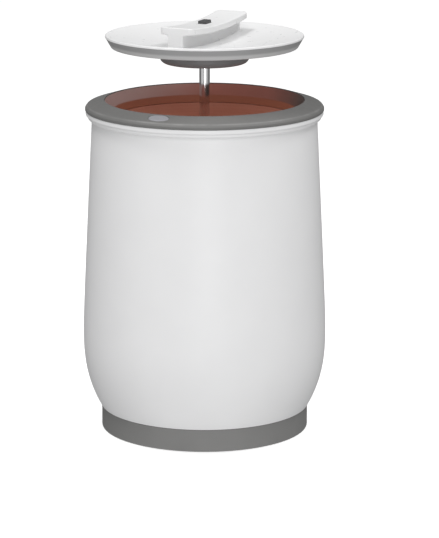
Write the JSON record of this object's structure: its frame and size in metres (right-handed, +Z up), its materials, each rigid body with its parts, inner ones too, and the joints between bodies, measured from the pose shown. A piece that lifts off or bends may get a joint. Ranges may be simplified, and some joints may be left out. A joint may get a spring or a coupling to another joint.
{
  "type": "towel warmer",
  "caption": "Round bucket towel warmer: heated chamber in a white shell on a grey base, and a dished lid with a bar handle on a central sliding rod.",
  "frame": {"origin": "middle of the bucket's footprint, on the surface it stands on", "axes": "+Z up along the lid's rod, -Y the front with the power button, +Y the rear with the cord gland"},
  "size_m": [0.3, 0.3, 0.5085],
  "materials": {
    "white_plastic": "moulded, satin gloss",
    "lid_grey": "satin moulded",
    "rim_grey": "fine moulded texture",
    "seat_brown": "heat-resistant, satin",
    "chamber": "copper-toned anodised",
    "hub_dark": "satin",
    "button_dark": "satin",
    "button_light": "satin",
    "chrome": "polished",
    "steel": "plated",
    "rubber": "matte",
    "felt": "needled mat",
    "foam": "expanded foam",
    "silicone": "moulded silicone",
    "board_green": "solder mask",
    "component_black": "satin",
    "bush_nylon": "natural nylon",
    "lead_grey": "insulation sleeve"
  },
  "bodies": {
    "bucket": {"outer_shell": "white_plastic", "rim_ring": "rim_grey", "seat_collar": "seat_brown", "top_deck": "white_plastic", "heat_chamber": "chamber", "heater_band": "silicone", "insulation_sleeve": "felt", "floor_insulation": "felt", "post_backplate": "steel", "thermostat": "component_black", "thermal_fuse": "bush_nylon", "lid_post": "steel", "post_screw_1": "steel", "post_screw_2": "steel", "post_screw_3": "steel", "post_cap": "hub_dark", "base_ring": "rim_grey", "bottom_cover": "rim_grey", "foot_1": "rubber", "foot_2": "rubber", "foot_3": "rubber", "foot_4": "rubber", "cover_screw_1": "steel", "cover_screw_2": "steel", "cover_screw_3": "steel", "chassis_plate": "steel", "chassis_screw_1": "steel", "chassis_screw_2": "steel", "chassis_screw_3": "steel", "cord_gland": "rubber", "gland_nut": "component_black", "control_board": "board_green", "relay": "component_black", "terminal_block": "component_black", "capacitor": "component_black", "button_cable": "lead_grey", "heater_lead": "lead_grey", "button_switch": "component_black", "button_board": "board_green"},
    "lid_bush": {"guide_bush": "bush_nylon"},
    "lid": {"lid_top": "white_plastic", "lid_under": "lid_grey", "lid_insulation": "foam", "hub_cover": "hub_dark", "rod_flange": "steel", "handle_screw_1": "steel", "handle_screw_2": "steel", "lift_rod": "chrome", "lock_shoe": "bush_nylon", "lid_handle": "white_plastic", "button_spring": "steel"},
    "lid_release": {"handle_button": "button_dark", "release_pin": "steel", "lock_cone": "steel"},
    "power_key": {"power_button": "button_light"}
  },
  "joints": [
    {"name": "lid_turn", "type": "hinge", "parent": "bucket", "child": "lid_bush", "pos_m": [0, 0, 0.3], "axis": [0, 0, 1], "continuous": true},
    {"name": "lid_lift", "type": "slide", "parent": "lid_bush", "child": "lid", "axis": [0, 0, 1], "range_m": [-0.077, 0.265]},
    {"name": "release_press", "type": "slide", "parent": "lid", "child": "lid_release", "axis": [0, 0, -1], "range_m": [0, 0.0025], "stiffness_N_per_m": 1200, "springref_m": -0.0015, "deforming": ["button_spring"]},
    {"name": "power_press", "type": "slide", "parent": "bucket", "child": "power_key", "axis": [0, 0, -1], "range_m": [0, 0.0008], "stiffness_N_per_m": 1500, "springref_m": -0.0005}
  ]
}
